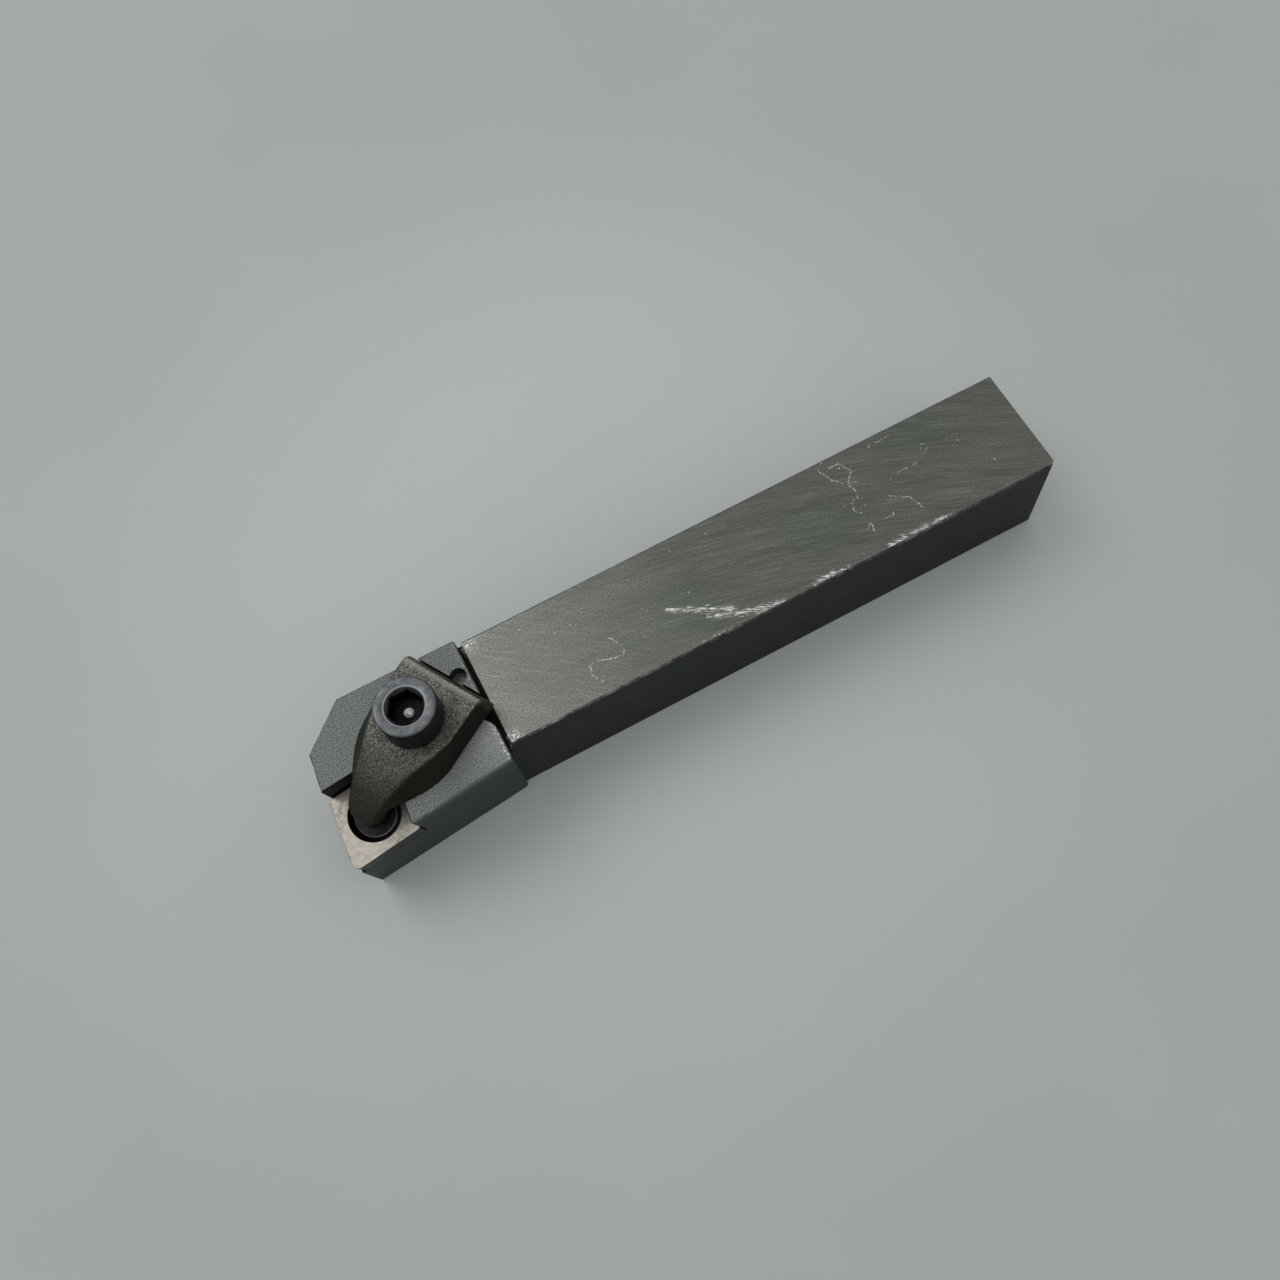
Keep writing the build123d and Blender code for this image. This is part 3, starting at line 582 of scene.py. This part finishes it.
def screwSteel(look):
    # Blackened high-tensile steel: the top of the head grey-blue and its sides darker; the socket's inside is
    # painted near-black as shade, with painted highlights on its mouth and its drill point
    material, tree, shader, place, facing = newMaterial("blackenedScrewSteel")
    axes = addNode(tree, "SeparateXYZ", {0: place})
    z = axes.node.outputs[2]
    normal = addNode(tree, "SeparateXYZ", {0: facing})
    fromAxis = addNode(tree, "VectorMath", {0: place, 1: tuple(screwAxis)}, operation="SUBTRACT")
    flat = addNode(tree, "VectorMath", {0: fromAxis, 1: (1, 1, 0)}, operation="MULTIPLY")
    reach = addNode(tree, "VectorMath", {0: flat}, out=1, operation="LENGTH")
    top = look["foot"] + look["headHeight"]
    onTop = addNode(tree, "MapRange", {0: normal.node.outputs[2], 1: 0.35, 2: 0.85})
    highUp = addNode(tree, "MapRange", {0: z, 1: top - 1.0, 2: top - 0.5})
    onTop = addNode(tree, "Math", {0: onTop, 1: highUp}, operation="MULTIPLY")
    smear = addNode(tree, "TexNoise", {"Vector": place, "Scale": 0.9, "Detail": 4.0})
    smearMask = addNode(tree, "MapRange", {0: smear, 1: 0.40, 2: 0.66})
    rim = addNode(tree, "Mix", {0: smearMask, 6: linear(look["rimTone"]), 7: linear(look["rimSmear"])},
                  out=2, data_type="RGBA")
    base = addNode(tree, "Mix", {0: onTop, 6: linear(look["sideTone"]), 7: rim}, out=2, data_type="RGBA")
    mouthBand = addNode(tree, "MapRange", {0: reach, 1: look["mouth"] - 0.12, 2: look["mouth"] - 0.04,
                                           3: 0.75, 4: 0.0})
    base = addNode(tree, "Mix", {0: mouthBand, 6: base, 7: linear(look["sideTone"])}, out=2, data_type="RGBA")
    # painted shade: the socket's inside below its mouth is near-black
    inside = addNode(tree, "MapRange", {0: reach, 1: look["mouth"] - 0.2, 2: look["mouth"] - 0.05,
                                        3: 1.0, 4: 0.0})
    below = addNode(tree, "MapRange", {0: z, 1: top - 0.95, 2: top - 0.8, 3: 1.0, 4: 0.0})
    inside = addNode(tree, "Math", {0: inside, 1: below}, operation="MULTIPLY")
    base = addNode(tree, "Mix", {0: inside, 6: base, 7: linear(look["socketShade"])}, out=2, data_type="RGBA")
    # painted highlight: a bright spot on the drill point at the socket's bottom
    dimple = addNode(tree, "MapRange", {0: reach, 1: look["dimple"] - 0.1, 2: look["dimple"], 3: 1.0, 4: 0.0})
    dimple = addNode(tree, "Math", {0: dimple, 1: inside}, operation="MULTIPLY")
    base = addNode(tree, "Mix", {0: dimple, 6: base, 7: linear(look["bright"])}, out=2, data_type="RGBA")
    # painted highlight: a bright ring along the edge of the socket's mouth
    mouthHighlight = addNode(tree, "Math", {0: reach, 1: look["mouth"] - 0.02, 2: 0.12}, operation="COMPARE")
    mouthHighlight = addNode(tree, "Math", {0: mouthHighlight, 1: highUp}, operation="MULTIPLY")
    mouthHighlight = addNode(tree, "Math", {0: mouthHighlight, 1: 0.5}, operation="MULTIPLY")
    base = addNode(tree, "Mix", {0: mouthHighlight, 6: base, 7: linear(look["bright"])}, out=2, data_type="RGBA")
    rough = addNode(tree, "MapRange", {0: smear, 1: 0.3, 2: 0.7, 3: 0.34, 4: 0.5})
    shader.inputs["Metallic"].default_value = 0.9
    tree.links.new(base, shader.inputs["Base Color"])
    tree.links.new(rough, shader.inputs["Roughness"])
    fine = addNode(tree, "TexNoise", {"Vector": place, "Scale": 6.0, "Detail": 2.0})
    bump = addNode(tree, "Bump", {"Strength": 0.25, "Distance": 0.04 * mm, "Height": fine})
    tree.links.new(bump, shader.inputs["Normal"])
    return material


angle = np.linspace(0.0, 2 * math.pi, 120, endpoint=False)
bottom = screwLook["foot"] - screwLook["length"]
shank, groove = screwLook["shankRadius"], screwLook["ringRadius"]
low, high = screwLook["ringLow"], screwLook["ringHigh"]
rings = fullRings(angle, [(screwLook["tip"], bottom)])
rings += threadRings(screwLook, angle, bottom + 0.02, low - 0.6, 0.6)
rings += fullRings(angle, [(shank, low - 0.4), (shank, low), (groove, low), (groove, high), (shank, high)])
head, drillPoint = headRings(screwLook, angle)
points, faces = screwShape(rings + head, bottom, drillPoint, angle, lambda p: p + screwAxis)
newPiece("clamp_screw_steel", points, faces, screwSteel(screwLook), "clamp_screw", "clamp_screw")
print("clamp screw made:", len(faces), "faces")

# ---- shim
shimLook = {
    "edge": 0.06, "face": "9C968D", "mottle": "7C786F", "tip": "A6A199", "side": "0E0F10", "speck": "2B251F",
    # middle of the painted highlight on the shim's top
    "highlightEnd": (-81.0, -14.2, 15.2),
}


def carbide(look):
    # Sintered carbide, ground flat: pale warm silver, faintly mottled with a few dark pores
    material, tree, shader, place, facing = newMaterial("groundSinteredCarbide")
    mottle = addNode(tree, "TexNoise", {"Vector": place, "Scale": 1.1, "Detail": 6.0, "Roughness": 0.75})
    mottleMask = addNode(tree, "MapRange", {0: mottle, 1: 0.42, 2: 0.60})
    face = addNode(tree, "Mix", {0: mottleMask, 6: linear(look["face"]), 7: linear(look["mottle"])},
                   out=2, data_type="RGBA")
    # painted highlight: the top lighter towards its pointed end
    fromTip = addNode(tree, "VectorMath", {0: place, 1: look["highlightEnd"]}, out=1, operation="DISTANCE")
    tipHighlight = addNode(tree, "MapRange", {0: fromTip, 1: 1.5, 2: 10.0, 3: 0.6, 4: 0.0},
                      interpolation_type="SMOOTHSTEP")
    face = addNode(tree, "Mix", {0: tipHighlight, 6: face, 7: linear(look["tip"])}, out=2, data_type="RGBA")
    # the sides, the hole's walls and the countersink are near-black: partly the darker as-sintered carbide,
    # partly painted shade
    onTop = addNode(tree, "VectorMath", {0: facing, 1: tuple(seatNormal)}, out=1, operation="DOT_PRODUCT")
    onTop = addNode(tree, "MapRange", {0: onTop, 1: 0.80, 2: 0.95})
    base = addNode(tree, "Mix", {0: onTop, 6: linear(look["side"]), 7: face}, out=2, data_type="RGBA")
    pores = addNode(tree, "TexVoronoi", {"Vector": place, "Scale": 0.6})
    poreMask = addNode(tree, "MapRange", {0: pores, 1: 0.07, 2: 0.14, 3: 0.85, 4: 0.0})
    base = addNode(tree, "Mix", {0: poreMask, 6: base, 7: linear(look["speck"])}, out=2, data_type="RGBA")
    rough = addNode(tree, "MapRange", {0: mottle, 1: 0.3, 2: 0.7, 3: 0.32, 4: 0.46})
    shader.inputs["Metallic"].default_value = 0.9
    tree.links.new(base, shader.inputs["Base Color"])
    tree.links.new(rough, shader.inputs["Roughness"])
    fine = addNode(tree, "TexNoise", {"Vector": place, "Scale": 7.0, "Detail": 2.0})
    bump = addNode(tree, "Bump", {"Strength": 0.2, "Distance": 0.03 * mm, "Height": fine})
    tree.links.new(bump, shader.inputs["Normal"])
    return material


vertices, faces = weld("shim")
shim = newPiece("shim_carbide", vertices, faces, carbide(shimLook), "holder", "shim")
roundEdges(shim, shimLook["edge"])
print("shim made:", len(faces), "faces")

# ---- shim screw
shimScrewLook = {
    "top": -0.62, "headRadius": 3.55, "headSink": 0.87, "neckSink": 1.92,
    "across": 3.0, "socketDepth": 1.8, "shankRadius": 2.5, "tip": 2.0, "bottom": -11.18,
    "pitch": 0.8, "threadDepth": 0.45, "tone": "1A1A1B", "cloudTone": "2C2B2A", "edgeHighlight": "9A9A98",
}


def onSeat(points):
    # turns the screw's own axes onto the leaning seat, at the middle of the shim's hole
    side = np.cross(seatNormal, seatAlong)
    return shimHole + points[:, :1] * seatAlong + points[:, 1:2] * side + points[:, 2:] * seatNormal


def darkScrew(look):
    # Blackened steel with a painted highlight, a bright ring round the edge of the head
    material, tree, shader, place, _ = newMaterial("blackenedShimScrewSteel")
    fromHole = addNode(tree, "VectorMath", {0: place, 1: tuple(shimHole)}, operation="SUBTRACT")
    height = addNode(tree, "VectorMath", {0: fromHole, 1: tuple(seatNormal)}, out=1, operation="DOT_PRODUCT")
    reach = addNode(tree, "VectorMath", {0: fromHole}, out=1, operation="LENGTH")
    # painted highlight round the head's edge
    edge = addNode(tree, "Math", {0: reach, 1: look["headRadius"] + 0.03, 2: 0.13}, operation="COMPARE")
    high = addNode(tree, "MapRange", {0: height, 1: -1.0, 2: -0.85})
    edge = addNode(tree, "Math", {0: edge, 1: high}, operation="MULTIPLY")
    cloud = addNode(tree, "TexNoise", {"Vector": place, "Scale": 1.2, "Detail": 4.0})
    cloudMask = addNode(tree, "MapRange", {0: cloud, 1: 0.4, 2: 0.7})
    base = addNode(tree, "Mix", {0: cloudMask, 6: linear(look["tone"]), 7: linear(look["cloudTone"])},
                   out=2, data_type="RGBA")
    edge = addNode(tree, "Math", {0: edge, 1: 0.8}, operation="MULTIPLY")
    base = addNode(tree, "Mix", {0: edge, 6: base, 7: linear(look["edgeHighlight"])}, out=2, data_type="RGBA")
    shader.inputs["Metallic"].default_value = 0.85
    shader.inputs["Roughness"].default_value = 0.45
    tree.links.new(base, shader.inputs["Base Color"])
    bump = addNode(tree, "Bump", {"Strength": 0.2, "Distance": 0.04 * mm, "Height": cloud})
    tree.links.new(bump, shader.inputs["Normal"])
    return material


angle = np.linspace(0.0, 2 * math.pi, 96, endpoint=False)
hexagon = hexRadius(angle, shimScrewLook["across"], 30.0)
top, bottom, shank = shimScrewLook["top"], shimScrewLook["bottom"], shimScrewLook["shankRadius"]
neck, rim, wide = -shimScrewLook["neckSink"], -shimScrewLook["headSink"], shimScrewLook["headRadius"]
base = top - shimScrewLook["socketDepth"]
rings = fullRings(angle, [(shimScrewLook["tip"], bottom)])
rings += threadRings(shimScrewLook, angle, bottom + 0.02, neck - 1.4, 0.5)
rings += fullRings(angle, [
    (shank, neck - 1.2), (shank, neck), (wide - 0.03, rim - 0.03), (wide, rim), (wide - 0.23, top - 0.02),
    (wide - 0.3, top), (hexagon + 0.12, top), (hexagon, top - 0.12), (hexagon, base + 0.06),
    (hexagon - 0.06, base), (0.3, base)])
points, faces = screwShape(rings, bottom, base, angle, onSeat)
newPiece("shim_screw_steel", points, faces, darkScrew(shimScrewLook), "holder", "shim_screw")
print("shim screw made:", len(faces), "faces")

# ---- retaining ring
ringLook = {"edge": 0.05, "tone": "3B3B3C", "light": "6A6A6B"}


def ringSteel(look):
    # Spring steel, stamped and tumbled: even dark grey with faint clouding
    material, tree, shader, place, _ = newMaterial("stampedSpringSteel")
    cloud = addNode(tree, "TexNoise", {"Vector": place, "Scale": 1.6, "Detail": 3.0})
    mask = addNode(tree, "MapRange", {0: cloud, 1: 0.35, 2: 0.7})
    base = addNode(tree, "Mix", {0: mask, 6: linear(look["tone"]), 7: linear(look["light"])},
                   out=2, data_type="RGBA")
    shader.inputs["Metallic"].default_value = 1.0
    shader.inputs["Roughness"].default_value = 0.4
    tree.links.new(base, shader.inputs["Base Color"])
    return material


vertices, faces = weld("retaining_ring")
ring = newPiece("retaining_ring_steel", vertices, faces, ringSteel(ringLook), "clamp_screw", "retaining_ring")
roundEdges(ring, ringLook["edge"])

# ---- spring
springLook = {
    "low": 16.0, "high": 22.0, "wire": 0.7, "coil": 3.6, "turns": 4.5, "tone": "77756F", "dull": "4E4C48",
    "still": 13.0,  # height below which nothing would move
}


def springShape(look):
    # A wire carried round a helix: the angle gives the turn, and the wire's round section stands
    # square to the way the helix climbs.
    steps, sides = 260, 16
    turn = np.linspace(0.0, 2 * math.pi * look["turns"], steps)[:, None]
    section = np.linspace(0.0, 2 * math.pi, sides, endpoint=False)[None, :]
    climb = (look["high"] - look["low"] - look["wire"]) / (2 * math.pi * look["turns"])
    slope = math.atan2(climb, look["coil"])
    outward = look["wire"] / 2 * np.cos(section)
    upward = look["wire"] / 2 * np.sin(section)
    radius = look["coil"] + outward
    x = radius * np.cos(turn) + upward * math.sin(slope) * np.sin(turn)
    y = radius * np.sin(turn) - upward * math.sin(slope) * np.cos(turn)
    z = look["low"] + look["wire"] / 2 + climb * turn + upward * math.cos(slope)
    grid = np.stack([x, y, z], -1).reshape(-1, 3)
    first = grid[:sides].mean(0, keepdims=True)
    last = grid[-sides:].mean(0, keepdims=True)
    return (np.concatenate([grid, first, last]) + screwAxis) * mm, ringFaces(steps, sides)


def springWire(look):
    # Drawn spring wire, coiled cold: grey, with dull smears left from drawing
    material, tree, shader, place, _ = newMaterial("drawnSpringWire")
    smear = addNode(tree, "TexNoise", {"Vector": place, "Scale": 3.0, "Detail": 3.0})
    mask = addNode(tree, "MapRange", {0: smear, 1: 0.35, 2: 0.7})
    base = addNode(tree, "Mix", {0: mask, 6: linear(look["tone"]), 7: linear(look["dull"])},
                   out=2, data_type="RGBA")
    shader.inputs["Metallic"].default_value = 1.0
    shader.inputs["Roughness"].default_value = 0.35
    tree.links.new(base, shader.inputs["Base Color"])
    return material


points, faces = springShape(springLook)
spring = newPiece("spring_wire", points, faces, springWire(springLook), None, "clamp_spring", smoothAngle=60)
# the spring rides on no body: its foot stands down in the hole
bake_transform(spring)
print("ring and spring made")

# ---- floor
floorLook = {
    "size": 4.0, "tone": "ABB1AF", "shade": "9CA19D", "haze": "B4B6B0",
    "middle": (-22.0, 20.0, 0.0),  # the board darkens away from here
}


def paintedBoard(look):
    # Matt painted board, pale grey-green, with painted shade that darkens it away from the tool
    material, tree, shader, place, _ = newMaterial("mattPaintedBoard")
    reach = addNode(tree, "VectorMath", {0: place, 1: look["middle"]}, out=1, operation="DISTANCE")
    shadeFalloff = addNode(tree, "MapRange", {0: reach, 1: 30.0, 2: 130.0}, interpolation_type="SMOOTHSTEP")
    base = addNode(tree, "Mix", {0: shadeFalloff, 6: linear(look["tone"]), 7: linear(look["shade"])},
                   out=2, data_type="RGBA")
    cloud = addNode(tree, "TexNoise", {"Vector": place, "Scale": 0.02, "Detail": 3.0})
    cloudMask = addNode(tree, "MapRange", {0: cloud, 1: 0.4, 2: 0.7, 3: 0.0, 4: 0.12})
    base = addNode(tree, "Mix", {0: cloudMask, 6: base, 7: linear(look["haze"])}, out=2, data_type="RGBA")
    shader.inputs["Roughness"].default_value = 0.6
    tree.links.new(base, shader.inputs["Base Color"])
    return material


half = floorLook["size"] / 2
corners = [(-half, -half, 0), (half, -half, 0), (half, half, 0), (-half, half, 0)]
floorMesh = bpy.data.meshes.new("floor")
floorMesh.from_pydata(corners, [], [(0, 1, 2, 3)])
floorMesh.materials.append(paintedBoard(floorLook))
floor = bpy.data.objects.new("floor", floorMesh)
bpy.context.scene.collection.objects.link(floor)

# ---- light and camera
lightLook = {"world": 0.8, "power": 4.7, "size": 0.9, "place": (-0.5, 0.62, 1.15), "aim": (-0.02, 0.0, 0.0)}
world = bpy.data.worlds.new("studio")
bpy.context.scene.world = world
world.use_nodes = True
world.node_tree.nodes["Background"].inputs[0].default_value = (1.0, 1.0, 1.0, 1.0)
world.node_tree.nodes["Background"].inputs[1].default_value = lightLook["world"]
lamp = bpy.data.lights.new("softBox", "AREA")
lamp.shape = "DISK"
lamp.size = lightLook["size"]
lamp.energy = lightLook["power"]
softBox = bpy.data.objects.new("softBox", lamp)
softBox.location = lightLook["place"]
throw = Vector(lightLook["aim"]) - Vector(lightLook["place"])
softBox.rotation_euler = throw.to_track_quat("-Z", "Y").to_euler()
bpy.context.scene.collection.objects.link(softBox)

cameraLook = {
    "right": (0.88431, -0.46090, -0.07467), "down": (-0.45306, -0.80836, -0.37589),
    "ahead": (0.11289, 0.36623, -0.92365), "place": (-48.433, -80.464, 212.492),  # place in mm
    "lens": 36.0, "sensor": 36.0,
}
right, down, ahead = (Vector(cameraLook[way]) for way in ("right", "down", "ahead"))
lens = bpy.data.cameras.new("camera")
lens.lens = cameraLook["lens"]
lens.sensor_width = cameraLook["sensor"]
lens.clip_start = 0.001
camera = bpy.data.objects.new("camera", lens)
turned = Matrix((right, -down, -ahead)).transposed().to_4x4()
camera.matrix_world = Matrix.Translation(Vector(cameraLook["place"]) * mm) @ turned
bpy.context.scene.collection.objects.link(camera)
bpy.context.scene.camera = camera
bpy.context.scene.view_settings.view_transform = "Standard"
print("floor, light and camera set")
